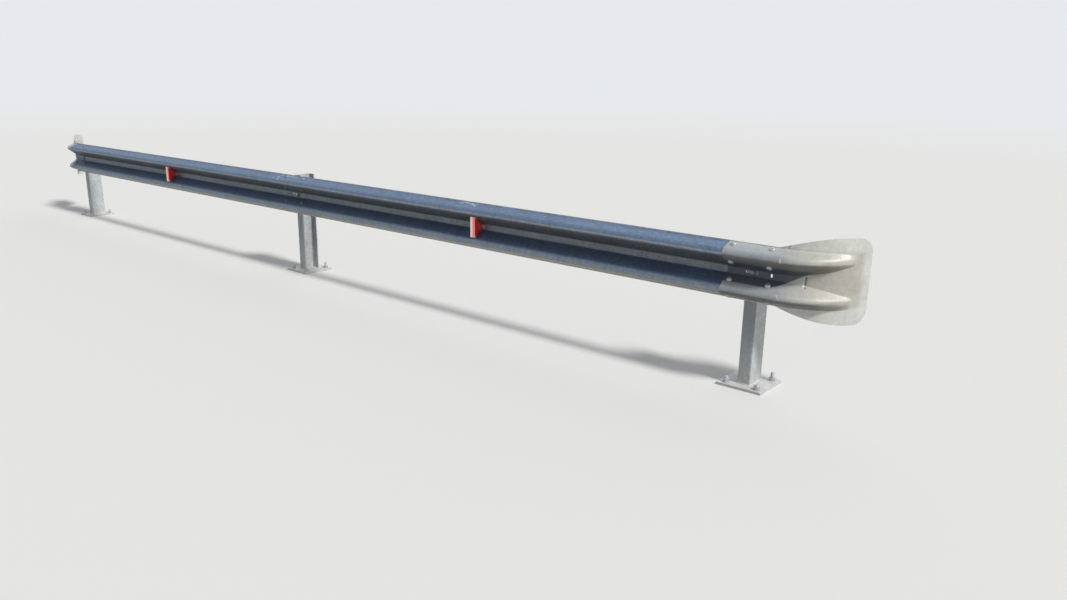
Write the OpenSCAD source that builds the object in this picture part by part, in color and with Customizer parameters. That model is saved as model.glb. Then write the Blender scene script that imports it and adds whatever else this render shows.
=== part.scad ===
// Two bays of highway guardrail: corrugated steel rails lapped over C-section posts,
// each post welded to a bolted base plate, with a curved fan-shaped terminal at each end.
// +X runs along the rail, -Y is the road side and +Z is up, in millimetres.
// The origin is the underside centre of the middle base plate.

/* [Line of posts] */
// Distance between neighbouring posts
post_pitch = 4000; // [1500:50:4500]
// Height of the rail's centre above the ground
rail_centre_z = 637; // [450:1:900]

/* [Corrugated rail] */
// Overall height of the rail's section
beam_height = 310; // [300:1:330]
// Step from the valley's face forward to the crests' face
wave_depth = 83; // [75:1:86]
// Thickness of the rolled sheet
sheet = 3; // [2:0.1:4]
// Slope of the sheet between valley and crest
inner_slope = 52; // [48:1:56]
// Slope of the sheet between crest and edge
outer_slope = 70; // [66:1:74]
// Bend radius at the valley, on the back of the innermost sheet
valley_radius = 24; // [20:1:28]
// Bend radius at a crest, on the back of the innermost sheet
crest_radius = 18; // [14:1:22]
// Bend radius where the sheet turns upright at its edge
edge_radius = 16; // [16:1:20]
// Upright strip left at each edge
edge_strip = 3; // [1:0.5:6]

/* [Laps and bolt holes] */
// Distance from a post's centre to a sheet's end
lap_reach = 140; // [130:1:200]
// Gap left between sheets that lie on each other, and between sheet and post
seat_gap = 0.1; // [0.05:0.05:0.3]
// Distance between the two columns of splice bolts
splice_pitch = 216; // [180:1:250]
// Diameter of a splice bolt hole
splice_hole_d = 18; // [14:1:22]
// Place of the inner splice bolts on their flank: 0 at the valley's bend, 1 at the crest's
inner_bolt_share = 0.47; // [0.35:0.01:0.6]
// Place of the outer splice bolts on their flank: 0 at the crest's bend, 1 at the edge's
outer_bolt_share = 0.68; // [0.4:0.01:0.75]
// Height of the slot for the post bolt
post_slot_h = 22; // [14:1:24]
// Length of the slot for the post bolt
post_slot_l = 72; // [50:1:90]
// Height of the upright slot that each sheet has in its valley
valley_slot_h = 20; // [16:1:24]
// Width of that slot
valley_slot_w = 12; // [8:1:14]

/* [Terminal] */
// Plan radius of the terminal's bend, at the back of the sheet
bend_radius = 430; // [350:5:600]
// Angle through which the terminal turns away from the road
bend_angle = 61; // [40:1:70]
// Overall height at the terminal's end
fan_height = 450; // [400:1:480]
// Length over which the edges flare out to that height
flare_length = 340; // [200:5:380]
// Length of the flat lip past the end of the waves
flat_lip = 85; // [30:1:110]
// Corner radius at the terminal's end
fan_corner = 78; // [20:1:90]

/* [Posts] */
// Size of the post along the rail
post_width = 76; // [60:1:100]
// Size of the post across the rail
post_depth = 140; // [100:1:160]
// Thickness of the post's section
post_wall = 5; // [4:0.5:6]
// Length of the lips at the open side, outside to tip
post_lip = 14; // [14:1:30]
// Outer corner radius of the post
post_corner = 10; // [7:1:14]
// Height of each post above the rail's top edge, left to right
post_rise = [-32, 5, -32]; // [-60:1:60]
// Diameter of the hole for the post bolt
post_bolt_hole_d = 17; // [14:1:21]
// Side on which each post is open, left to right: 1 towards +X, -1 towards -X
post_open_side = [-1, 1, -1];

/* [Base plates] */
// Size of a base plate along the rail
plate_x = 260; // [220:1:320]
// Size of a base plate across the rail
plate_y = 260; // [240:1:320]
// Thickness of a base plate
plate_t = 15; // [10:1:25]
// Corner radius of a base plate
plate_corner = 6; // [2:1:20]
// Distance between anchor holes along the rail
anchor_pitch_x = 180; // [150:1:200]
// Distance between anchor holes across the rail
anchor_pitch_y = 190; // [180:1:210]
// Diameter of an anchor hole
anchor_hole_d = 22; // [16:1:28]

/* [Reflectors] */
// Gap between a reflector's sloping sides and the rail's flanks
reflector_side_gap = 4; // [3:0.5:8]
// Distance from the valley's face to the reflector's front
reflector_reach = 76; // [60:1:80]
// Thickness of a reflector along the rail
reflector_t = 37; // [18:1:40]
// Distance of each reflector along the rail from its bay's middle, left to right
reflector_shift = [0, 44]; // [-100:1:100]
// Corner radius of a reflector
reflector_corner = 6; // [2:1:8]
// Rim left around a lens
lens_rim = 5; // [3:1:10]
// Depth of the recess that holds a lens
lens_recess = 4; // [2:0.5:6]
// Thickness of a lens
lens_t = 3; // [1.5:0.5:5]
// Gap around a lens in its recess
lens_gap = 0.2; // [0.1:0.1:0.5]
// Thickness of the foot strap behind a reflector
foot_t = 3; // [2:0.5:4]
// Length of the foot strap along the rail
foot_l = 96; // [80:1:140]
// Height of the foot strap
foot_h = 24; // [16:1:26]
// Corner radius of the foot strap
foot_corner = 4; // [1:0.5:6]

/* [Hidden] */

ZINC = [0.66, 0.69, 0.71];
DULL_ZINC = [0.60, 0.62, 0.60];
RED = [0.62, 0.06, 0.05];
WHITE = [0.88, 0.88, 0.85];

// Sheets are numbered outwards from the post: left terminal 0, left rail 1, right rail 2
// and right terminal 3. Each lies one sheet further forward than the last.
sheet_step = sheet + seat_gap;
// The sheets are parallel, and each post touches the innermost one there,
// so the beam turns by one sheet in each bay.
shingle_angle = asin(sheet_step / post_pitch);
post_face_y = -post_depth / 2;
beam_origin = [-post_pitch, post_face_y - seat_gap, rail_centre_z];
// Distance between posts along the turned beam
beam_pitch = post_pitch / cos(shingle_angle);
rail_length = beam_pitch + 2 * lap_reach;

arc_step = 9;
$fn = 48;
overshoot = 1;

// Half of the section, from the valley up to the edge. A point is [height, forward, slope],
// where the slope is the sheet's angle away from upright.
inner_flank = (wave_depth - (valley_radius + crest_radius) * (1 - cos(inner_slope)))
    / sin(inner_slope);
outer_flank = (wave_depth - (edge_radius + crest_radius) * (1 - cos(outer_slope)))
    / sin(outer_slope);
inner_run = (valley_radius + crest_radius) * sin(inner_slope) + inner_flank * cos(inner_slope);
outer_run = (edge_radius + crest_radius) * sin(outer_slope) + outer_flank * cos(outer_slope)
    + edge_strip;
valley_flat = beam_height / 2 - inner_run - outer_run;
crest_z = valley_flat + inner_run;

function arc_angles(a, b) =
    let (n = ceil(abs(b - a) / arc_step))
    [for (i = [0:n]) a + (b - a) * i / n];
// The way towards the road from a sheet of a given slope, as [height, forward]
function facing(slope) = [-sin(slope), cos(slope)];

valley_centre = [valley_flat, valley_radius];
valley_end = valley_centre - valley_radius * facing(inner_slope);
crest_centre = [crest_z, wave_depth - crest_radius];
edge_centre = [beam_height / 2 - edge_strip, edge_radius];

half_section = concat(
    [[0, 0, 0]],
    [for (a = arc_angles(0, inner_slope)) concat(valley_centre - valley_radius * facing(a), a)],
    [for (a = arc_angles(inner_slope, -outer_slope))
        concat(crest_centre + crest_radius * facing(a), a)],
    [for (a = arc_angles(-outer_slope, 0)) concat(edge_centre - edge_radius * facing(a), a)],
    [[beam_height / 2, 0, 0]]
);
last = len(half_section) - 1;
full_section = concat(
    [for (i = [last:-1:1]) [-half_section[i][0], half_section[i][1], -half_section[i][2]]],
    half_section
);

function on_sheet(p, off) = [p[0], p[1]] + off * facing(p[2]);

// Outline of one sheet, as [across the rail, height]
function sheet_outline(layer) =
    let (
        back = [for (p = full_section) on_sheet(p, layer * sheet_step)],
        front = [for (p = full_section) on_sheet(p, layer * sheet_step + sheet)]
    )
    [for (q = concat(front, [for (i = [len(back) - 1:-1:0]) back[i]])) [-q[1], q[0]]];

// Points on the flanks where splice bolts go, as [height, forward, slope]
flank_bolts = [
    concat(valley_end + inner_bolt_share * inner_flank * [cos(inner_slope), sin(inner_slope)],
        inner_slope),
    concat(crest_centre + crest_radius * facing(-outer_slope)
        + outer_bolt_share * outer_flank * [cos(outer_slope), -sin(outer_slope)], -outer_slope)
];
// A cut through the laps starts behind the innermost sheet and ends in front of the outermost
cut_back = sheet + overshoot;
cut_length = 4 * sheet_step + 2 * cut_back;

// A drill through the sheets at a point of the section, seen along the rail
module flank_drill(p, d) {
    translate([0, -p[1], p[0]])
        rotate([90 + p[2], 0, 0])
            translate([0, 0, -cut_back])
                cylinder(d = d, h = cut_length);
}

// A slot through the valley, w along the rail and h high, with round ends
module valley_cut(w, h) {
    across = min(w, h);
    half = [(w - across) / 2, (h - across) / 2];
    rotate([90, 0, 0])
        translate([0, 0, -cut_back])
            linear_extrude(cut_length)
                union() {
                    square([w > h ? 2 * half[0] : w, w > h ? h : 2 * half[1]], center = true);
                    for (end = [-1, 1])
                        translate(end * half)
                            circle(d = across);
                }
}

// What is cut at one post: eight splice holes, the post bolt's slot and, on the side
// of the sheet's own end, the upright slot
module lap_holes(end_side) {
    for (x = [-1, 1], up = [0, 1], p = flank_bolts)
        translate([x * splice_pitch / 2, 0, 0])
            mirror([0, 0, up])
                flank_drill(p, splice_hole_d);
    valley_cut(post_slot_l, post_slot_h);
    translate([end_side * splice_pitch / 2, 0, 0])
        valley_cut(valley_slot_w, valley_slot_h);
}

module beam_frame() {
    translate(beam_origin)
        rotate([0, 0, shingle_angle])
            children();
}

// A straight rail over bay number bay, counted from the left
module rail(bay) {
    color(ZINC)
        beam_frame()
            difference() {
                translate([bay * beam_pitch - lap_reach, 0, 0])
                    rotate([90, 0, 90])
                        linear_extrude(rail_length)
                            polygon(sheet_outline(bay + 1));
                for (end = [0, 1])
                    translate([(bay + end) * beam_pitch, 0, 0])
                        lap_holes(2 * end - 1);
            }
}

// The terminal's fan. A station is a distance along its plan line from the post outwards.
fan_length = bend_radius * bend_angle * PI / 180;
fan_steps = 18;
corner_steps = 5;
fan_stations = concat(
    [-lap_reach, 0, lap_reach],
    [for (i = [1:fan_steps]) lap_reach + (fan_length - fan_corner) * i / fan_steps],
    [for (i = [1:corner_steps])
        lap_reach + fan_length - fan_corner * (1 - sin(90 * i / corner_steps))]
);

function share(part, whole) = max(0, min(1, part / whole));
// How much of the waves' depth is left at a station: 1 at the lap and 0 on the flat lip
function wave_left(s) = cos(90 * share(s - lap_reach, fan_length - flat_lip));
function end_rounding(s) =
    let (left = lap_reach + fan_length - s)
    left >= fan_corner ? 0
        : fan_corner - sqrt(max(0, fan_corner * fan_corner - pow(fan_corner - left, 2)));
// Half the sheet's height at a station: past the lap the edges flare out as flat flanges
function fan_half(s) =
    beam_height / 2 - end_rounding(s)
    + (fan_height - beam_height) / 2 * sin(90 * share(s - lap_reach, flare_length));

// A point of the fan's sheet in the section's plane, as [height, forward]. The waves keep
// their heights and lose their depth, and the edge strips widen into the flanges.
function fan_point(s, i, off) =
    let (
        p = full_section[i],
        k = wave_left(s),
        way = [k * facing(p[2])[0], facing(p[2])[1]],
        squeeze = min(1, (fan_half(s) - edge_strip) / (beam_height / 2 - edge_strip)),
        height = abs(i - last) == last ? sign(p[0]) * fan_half(s) : squeeze * p[0]
    )
    [height, k * p[1]] + off * way / norm(way);

// The same point in space, with the terminal pointing along +X
function fan_place(s, q) =
    let (
        a = s <= lap_reach ? 0 : (s - lap_reach) / bend_radius * 180 / PI,
        along = s <= lap_reach ? [s, 0]
            : [lap_reach + bend_radius * sin(a), bend_radius * (1 - cos(a))]
    )
    [along[0] + q[1] * sin(a), along[1] - q[1] * cos(a), q[0]];

module fan_sheet(layer) {
    n = len(full_section);
    m = len(fan_stations);
    inside = layer * sheet_step;
    points = [
        for (off = [inside, inside + sheet], s = fan_stations, i = [0:n - 1])
            fan_place(s, fan_point(s, i, off))
    ];
    back = function (j, i) j * n + i;
    front = function (j, i) (m + j) * n + i;
    faces = concat(
        [for (j = [0:m - 2], i = [0:n - 2]) [back(j, i), back(j + 1, i), back(j + 1, i + 1)]],
        [for (j = [0:m - 2], i = [0:n - 2]) [back(j, i), back(j + 1, i + 1), back(j, i + 1)]],
        [for (j = [0:m - 2], i = [0:n - 2]) [front(j, i), front(j + 1, i + 1), front(j + 1, i)]],
        [for (j = [0:m - 2], i = [0:n - 2]) [front(j, i), front(j, i + 1), front(j + 1, i + 1)]],
        [for (j = [0:m - 2]) [back(j, 0), front(j + 1, 0), back(j + 1, 0)]],
        [for (j = [0:m - 2]) [back(j, 0), front(j, 0), front(j + 1, 0)]],
        [for (j = [0:m - 2]) [back(j, n - 1), back(j + 1, n - 1), front(j + 1, n - 1)]],
        [for (j = [0:m - 2]) [back(j, n - 1), front(j + 1, n - 1), front(j, n - 1)]],
        [for (i = [0:n - 2]) [back(0, i), back(0, i + 1), front(0, i + 1)]],
        [for (i = [0:n - 2]) [back(0, i), front(0, i + 1), front(0, i)]],
        [for (i = [0:n - 2]) [back(m - 1, i), front(m - 1, i + 1), back(m - 1, i + 1)]],
        [for (i = [0:n - 2]) [back(m - 1, i), front(m - 1, i), front(m - 1, i + 1)]]
    );
    polyhedron(points, faces);
}

// A terminal at post number at, pointing away from the rail on side 1 (+X) or -1 (-X)
module terminal(at, side, layer) {
    color(DULL_ZINC)
        beam_frame()
            translate([at * beam_pitch, 0, 0])
                difference() {
                    mirror([side < 0 ? 1 : 0, 0, 0])
                        fan_sheet(layer);
                    lap_holes(side);
                }
}

function post_top_z(i) = rail_centre_z + beam_height / 2 + post_rise[i];
function post_x(i) = (i - 1) * post_pitch;

module post_section() {
    inner_corner = post_corner - post_wall;
    difference() {
        square_rounded(post_width, post_depth, post_corner);
        square_rounded(post_width - 2 * post_wall, post_depth - 2 * post_wall, inner_corner);
        translate([post_width / 2 - post_wall - overshoot, -post_depth / 2 + post_lip])
            square([post_wall + 2 * overshoot, post_depth - 2 * post_lip]);
    }
}

module square_rounded(x, y, r) {
    union() {
        square([x - 2 * r, y], center = true);
        square([x, y - 2 * r], center = true);
        for (i = [-1, 1], j = [-1, 1])
            translate([i * (x / 2 - r), j * (y / 2 - r)])
                circle(r = r);
    }
}

module post(i) {
    color(ZINC)
        translate([post_x(i), 0, 0])
            difference() {
                mirror([post_open_side[i] < 0 ? 1 : 0, 0, 0])
                    translate([0, 0, plate_t])
                        linear_extrude(post_top_z(i) - plate_t)
                            post_section();
                translate([0, post_face_y - overshoot, rail_centre_z])
                    rotate([-90, 0, 0])
                        cylinder(d = post_bolt_hole_d, h = post_corner + 2 * overshoot);
            }
}

module base_plate(i) {
    color(ZINC)
        translate([post_x(i), 0, 0])
            difference() {
                linear_extrude(plate_t)
                    square_rounded(plate_x, plate_y, plate_corner);
                for (x = [-1, 1], y = [-1, 1])
                    translate([x * anchor_pitch_x / 2, y * anchor_pitch_y / 2, -overshoot])
                        cylinder(d = anchor_hole_d, h = plate_t + 2 * overshoot);
            }
}

// Half height of a reflector at a distance forward of the valley's face: its sides keep
// a set gap from the flanks of its own rail's sheet
function reflector_half_h(bay, forward) =
    let (
        face = (bay + 1) * sheet_step + sheet,
        flank = valley_end + (face + reflector_side_gap) * facing(inner_slope)
    )
    flank[0] + (forward + face - flank[1]) / tan(inner_slope);

// A reflector's outline, as [across the rail, height], growing towards the road
module reflector_outline(bay, inset) {
    back = reflector_half_h(bay, foot_t);
    front = reflector_half_h(bay, reflector_reach);
    offset(r = reflector_corner - inset)
        offset(delta = -reflector_corner)
            polygon([
                [-foot_t, -back], [-foot_t, back],
                [-reflector_reach, front], [-reflector_reach, -front]
            ]);
}

// The place of a bay's reflector, on the valley's face of its rail
module bay_frame(bay) {
    along = (bay + 0.5) * beam_pitch + reflector_shift[bay];
    beam_frame()
        translate([along, -(bay + 1) * sheet_step - sheet, 0])
            children();
}

module reflector_slab(bay, x0, x1, inset) {
    translate([x0, 0, 0])
        rotate([90, 0, 90])
            linear_extrude(x1 - x0)
                reflector_outline(bay, inset);
}

// One coloured half of a reflector, on side 1 (+X, red) or -1 (-X, white)
module reflector_half(bay, side, paint) {
    color(paint)
        bay_frame(bay)
            mirror([side < 0 ? 1 : 0, 0, 0])
                difference() {
                    reflector_slab(bay, 0, reflector_t / 2, 0);
                    reflector_slab(bay, reflector_t / 2 - lens_recess,
                        reflector_t / 2 + overshoot, lens_rim);
                }
}

module reflector_lens(bay, side, paint) {
    seat = reflector_t / 2 - lens_recess;
    color(paint)
        bay_frame(bay)
            mirror([side < 0 ? 1 : 0, 0, 0])
                reflector_slab(bay, seat, seat + lens_t, lens_rim + lens_gap);
}

// The strap that holds a reflector against the valley
module reflector_foot(bay) {
    color(ZINC)
        bay_frame(bay)
            translate([0, -foot_t / 2, 0])
                rotate([90, 0, 0])
                    linear_extrude(foot_t, center = true)
                        square_rounded(foot_l, foot_h, foot_corner);
}

post(0);  // post_left
post(1);  // post_middle
post(2);  // post_right
base_plate(0);  // base_plate_left
base_plate(1);  // base_plate_middle
base_plate(2);  // base_plate_right
rail(0);  // rail_left
rail(1);  // rail_right
terminal(0, -1, 0);  // terminal_left
terminal(2, 1, 3);  // terminal_right
reflector_foot(0);  // reflector_foot_left
reflector_foot(1);  // reflector_foot_right
reflector_half(0, 1, RED);  // reflector_red_half_left
reflector_half(1, 1, RED);  // reflector_red_half_right
reflector_half(0, -1, WHITE);  // reflector_white_half_left
reflector_half(1, -1, WHITE);  // reflector_white_half_right
reflector_lens(0, 1, RED);  // reflector_red_lens_left
reflector_lens(1, 1, RED);  // reflector_red_lens_right
reflector_lens(0, -1, WHITE);  // reflector_white_lens_left
reflector_lens(1, -1, WHITE);  // reflector_white_lens_right
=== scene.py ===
# %% [markdown]
# # A length of highway guardrail
#
# The object is two bays of corrugated steel rail on three posts with bolted base plates,
# with a curved fan-shaped terminal at each end and a red and white reflector in each bay.
#
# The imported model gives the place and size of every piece. This script loads it, then
# makes finer meshes and finishes for the same pieces. Lengths are in metres, +X runs
# along the rail, -Y is the road side and +Z is up.

from math import asin, ceil, copysign, cos, degrees, exp, hypot, pi, radians, sin, sqrt, tan, tau

import bmesh
import bpy
from mathutils import Matrix, Vector, noise


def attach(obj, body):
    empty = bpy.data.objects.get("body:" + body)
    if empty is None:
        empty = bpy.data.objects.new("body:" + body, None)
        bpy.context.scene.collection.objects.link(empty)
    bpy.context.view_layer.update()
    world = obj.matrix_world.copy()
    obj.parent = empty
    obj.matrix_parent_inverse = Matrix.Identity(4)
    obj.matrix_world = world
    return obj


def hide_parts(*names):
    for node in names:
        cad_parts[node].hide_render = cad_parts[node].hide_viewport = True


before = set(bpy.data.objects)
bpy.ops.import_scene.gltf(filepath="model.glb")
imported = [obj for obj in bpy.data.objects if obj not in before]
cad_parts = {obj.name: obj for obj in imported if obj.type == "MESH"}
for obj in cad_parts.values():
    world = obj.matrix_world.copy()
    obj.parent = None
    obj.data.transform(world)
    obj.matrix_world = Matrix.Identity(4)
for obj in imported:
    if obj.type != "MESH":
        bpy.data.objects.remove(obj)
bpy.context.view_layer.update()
MM = 0.001


def mm(*lengths):
    """Lengths given in millimetres, in metres."""
    return [length * MM for length in lengths]


# %% [markdown]
# ## Camera
#
# A photograph can be matched by eye, or by working out the camera from points whose real
# places are known. Rail edges, post feet and bolt holes were used here. The result is a
# place, three angles and a focal length in pixels of a picture 1067 pixels wide.

# %% Set up the camera
PICTURE_WIDTH, SENSOR_WIDTH, FOCAL_PIXELS = 1067, 36.0, 844.0
CAMERA_PLACE = (5.877, -4.1067, 1.6268)
CAMERA_TURN, CAMERA_TILT, CAMERA_ROLL = [radians(a) for a in (39.819, 15.063, 0.926)]
SIGHT_LIMIT = 500.0

lens = bpy.data.cameras.new("camera")
lens.sensor_width = SENSOR_WIDTH
lens.lens = FOCAL_PIXELS / PICTURE_WIDTH * SENSOR_WIDTH
lens.clip_end = SIGHT_LIMIT
camera = bpy.data.objects.new("camera", lens)
# An unturned camera looks down with its top towards +Y, so a quarter turn levels it
camera.matrix_world = (Matrix.Translation(CAMERA_PLACE) @ Matrix.Rotation(CAMERA_TURN, 4, "Z")
                       @ Matrix.Rotation(pi / 2 - CAMERA_TILT, 4, "X")
                       @ Matrix.Rotation(CAMERA_ROLL, 4, "Z"))
bpy.context.collection.objects.link(camera)
bpy.context.scene.camera = camera
bpy.context.scene.view_settings.view_transform = "Standard"
print("lens:", round(lens.lens, 2), "mm")

# %% [markdown]
# ## Shader maths
#
# A finish is a tree of nodes. Placing nodes one by one hides the idea behind the wiring,
# so a small class wraps a socket and lets ordinary arithmetic add the Math nodes. A Math
# node turns a colour grey, so colours and vectors go to Vector Math and Mix instead.


# %% Sockets that add and multiply
class Wire:
    """One output socket of a material, used like a number."""

    def __init__(self, bench, socket):
        self.bench, self.socket = bench, socket

    def __add__(self, other):
        return self.bench.maths("ADD", self, other)

    def __sub__(self, other):
        return self.bench.maths("SUBTRACT", self, other)

    def __rsub__(self, other):
        return self.bench.maths("SUBTRACT", other, self)

    def __mul__(self, other):
        return self.bench.maths("MULTIPLY", self, other)

    __radd__, __rmul__ = __add__, __mul__

    def axis(self, name):
        """The X, Y or Z part of a vector."""
        return self.bench.add("ShaderNodeSeparateXYZ", {}, {"Vector": self}, name)

    def held(self):
        """The value kept between 0 and 1."""
        return self.bench.add("ShaderNodeClamp", {}, {"Value": self})

    def fade(self, low, high, start=0.0, end=1.0):
        """A soft step from start at low to end at high."""
        return self.bench.add("ShaderNodeMapRange", {"interpolation_type": "SMOOTHSTEP"},
                              {"Value": self, "From Min": low, "From Max": high,
                               "To Min": start, "To Max": end})

    def ridge(self, low, peak, high):
        """0 at low, 1 at the peak and 0 again at high."""
        return self.fade(low, peak) * self.fade(high, peak)


print("wires add and multiply")

# %% [markdown]
# ## A bench for finishes
#
# A bench holds the tree of one material, or of the world. `add` makes any node from its
# type, settings and sockets. The other methods are short names for what the finishes use
# again and again: noise, a mix of colours, a stroke and the closing shader.


# %% A bench that adds nodes
class Bench:
    """A material, or the world's background, being made."""

    def __init__(self, name, shelf="materials"):
        self.owner = getattr(bpy.data, shelf).new(name)
        self.owner.use_nodes = True
        self.tree = self.owner.node_tree
        self.tree.nodes.clear()
        self.place = self.add("ShaderNodeTexCoord", {}, {}, "Object")

    def add(self, kind, settings, sockets, out=0):
        """Adds a node: its settings first, then values or links for its sockets."""
        node = self.tree.nodes.new(kind)
        for key, value in settings.items():
            if key == "stops":
                while len(node.color_ramp.elements) < len(value):
                    node.color_ramp.elements.new(1.0)
                for stop, (position, colour) in zip(node.color_ramp.elements, value):
                    stop.position, stop.color = position, (*colour, 1)
            else:
                setattr(node, key, value)
        for key, value in sockets.items():
            if isinstance(value, Wire):
                self.tree.links.new(value.socket, node.inputs[key])
            else:
                node.inputs[key].default_value = value
        return Wire(self, node.outputs[out]) if node.outputs else None

    def maths(self, operation, a, b):
        """A Math node on values, or Vector Math where a vector or colour takes part."""
        def plain(term):
            if isinstance(term, Wire):
                return term.socket.type == "VALUE"
            return not isinstance(term, tuple)
        if plain(a) and plain(b):
            return self.add("ShaderNodeMath", {"operation": operation}, {0: a, 1: b})
        a, b = [(t, t, t) if isinstance(t, (int, float)) else t for t in (a, b)]
        return self.add("ShaderNodeVectorMath", {"operation": operation}, {0: a, 1: b})

    def mix(self, factor, a, b):
        """Colour a at factor 0 and colour b at 1."""
        a, b = [(*c, 1) if isinstance(c, tuple) else c for c in (a, b)]
        return self.add("ShaderNodeMix", {"data_type": "RGBA"}, {0: factor, 6: a, 7: b}, 2)

    def normal(self, axis):
        """The X, Y or Z part of the way that the surface faces."""
        return self.add("ShaderNodeNewGeometry", {}, {}, "Normal").axis(axis)

    def cloud(self, scale, detail=3.0, place=None):
        """Smooth noise from about -0.5 to 0.5, with scale in lumps per metre."""
        return self.add("ShaderNodeTexNoise", {},
                        {"Vector": place or self.place, "Scale": scale, "Detail": detail,
                         "Roughness": 0.6}, "Fac") - 0.5

    def stroke(self, start, end, width):
        """1 on the line from start to end, falling to 0 at width from it; in millimetres."""
        start, end = Vector(start) * MM, Vector(end) * MM
        reach, from_start = end - start, self.place - tuple(start)
        along = self.add("ShaderNodeVectorMath", {"operation": "DOT_PRODUCT"},
                         {0: from_start, 1: tuple(reach / reach.length_squared)}, "Value")
        nearest = self.add("ShaderNodeVectorMath", {"operation": "SCALE"},
                           {0: tuple(reach), "Scale": along.held()})
        gap = self.add("ShaderNodeVectorMath", {"operation": "DISTANCE"},
                       {0: from_start, 1: nearest}, "Value")
        return gap.fade(width * MM, 0.0)

    def strokes(self, marks):
        """Several strokes added up."""
        first, *others = [self.stroke(*mark) for mark in marks]
        return sum(others, first)

    def finish(self, sockets, bumps=()):
        """Adds the surface shader. Each bump is a height from 0 to 1 and its depth."""
        normal = {}
        for height, depth in bumps:
            links = {"Height": height, "Distance": depth, **normal}
            normal = {"Normal": self.add("ShaderNodeBump", {}, links)}
        surface = self.add("ShaderNodeBsdfPrincipled", {}, {**sockets, **normal})
        self.add("ShaderNodeOutputMaterial", {}, {"Surface": surface})
        return self.owner


print("the bench is ready")

# %% [markdown]
# ## Zinc
#
# Hot-dip galvanising leaves a coat of zinc crystals. Close to, they are patches of
# slightly different grey a centimetre or two across, and from further off they blend into
# soft clouds. Rain and dust dull the coat. All zinc finishes share this: a cell pattern
# for the crystals, clouds for the dulling and fine noise for the rough skin.

# %% A zinc coat
CRYSTALS, DULL_LUMPS, SPECK_LUMPS = 70, 7.0, 60.0    # per metre
SKIN_LUMPS, PIMPLE_LUMPS, SKIN_DEPTH = 900, 55.0, 0.25 * MM
LOW_GLOSS = 0.3


def zinc_coat(bench, crystals, clouds):
    """Brightness around 1 and roughness change around 0 for a galvanised surface."""
    cells = bench.add("ShaderNodeTexVoronoi", {}, {"Vector": bench.place, "Scale": CRYSTALS},
                      "Color")
    flake = cells.axis("X") - 0.5
    dull, specks = bench.cloud(DULL_LUMPS, 5.0), bench.cloud(SPECK_LUMPS)
    brightness = 1.0 + flake * crystals + dull * clouds + specks * (clouds * 0.5)
    return brightness, dull * 0.25 - flake * 0.1


def skin_bump(bench):
    """The fine unevenness of the coat, as a height and its depth."""
    return (bench.cloud(SKIN_LUMPS, 2.0) + bench.cloud(PIMPLE_LUMPS) * 2.0, SKIN_DEPTH)


def zinc_surface(bench, tone, roughness, metallic, relief, **more):
    """Finishes a coat of low gloss, with its skin and one more relief."""
    return bench.finish({"Base Color": tone, "Roughness": roughness, "Metallic": metallic,
                         "Specular IOR Level": LOW_GLOSS, **more}, [skin_bump(bench), relief])


def plain_zinc(name, tone, crystals, clouds, roughness, metallic=0.6):
    """A zinc finish with no marks of its own."""
    bench = Bench(name)
    brightness, change = zinc_coat(bench, crystals, clouds)
    return bench.finish({"Base Color": brightness * tone,
                         "Roughness": change + roughness, "Metallic": metallic},
                        [skin_bump(bench)])


bolt_zinc = plain_zinc("bolt zinc", (0.42, 0.44, 0.46), 0.1, 0.3, 0.45)
nut_zinc = plain_zinc("nut zinc", (0.50, 0.52, 0.54), 0.1, 0.4, 0.5, 0.4)
foot_zinc = plain_zinc("foot zinc", (0.36, 0.37, 0.37), 0.1, 0.3, 0.5)
weld_zinc = plain_zinc("weld zinc", (0.52, 0.54, 0.54), 0.2, 0.5, 0.5)
print("zinc materials:", len(bpy.data.materials))

# %% [markdown]
# ## The section of the rail
#
# The rail is one steel sheet rolled into two waves. Its section could be traced point by
# point, but the rolled shape is simple: a flat valley, then bends and straight flanks up
# to each crest and down to each edge. A point is written as height, distance forward and
# slope, so that the sheet can be given its thickness by moving along the slope's normal.

# %% Straight parts and bends
SHEET, SHEET_STEP = mm(3, 3.1)
HALF_HEIGHT, WAVE_DEPTH = mm(155, 83)
INNER_SLOPE, OUTER_SLOPE = radians(52), radians(70)
VALLEY_R, CREST_R, EDGE_R, EDGE_STRIP = mm(24, 18, 16, 3)
ARC_STEP, FLAT_STEP = radians(6), 9.0 * MM


def facing(slope):
    """The way towards the road from a sheet of that slope, as height and forward."""
    return Vector((-sin(slope), cos(slope)))


def rising(slope):
    """The way up along a sheet of that slope, as height and forward."""
    return Vector((cos(slope), sin(slope)))


def flank(radius, slope):
    """Length of the straight part between a bend of that radius and the crest's bend."""
    return (WAVE_DEPTH - (radius + CREST_R) * (1 - cos(slope))) / sin(slope)


def steps(a, b, size):
    """Values from a up to but not including b, at most size apart."""
    count = ceil(abs(b - a) / size)
    return [a + (b - a) * i / count for i in range(count)]


def straight(start, length, slope):
    """Points of a straight part of the section."""
    return [(*(start + t * rising(slope)), slope) for t in steps(0, length, FLAT_STEP)]


def bend(centre, radius, before, after):
    """Points of a bend from one slope to another, with a negative radius for a hollow."""
    return [(*(centre + radius * facing(a)), a) for a in steps(before, after, ARC_STEP)]


print("the section is", round(2 * HALF_HEIGHT / MM), "mm high and", round(WAVE_DEPTH / MM),
      "mm deep")

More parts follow.
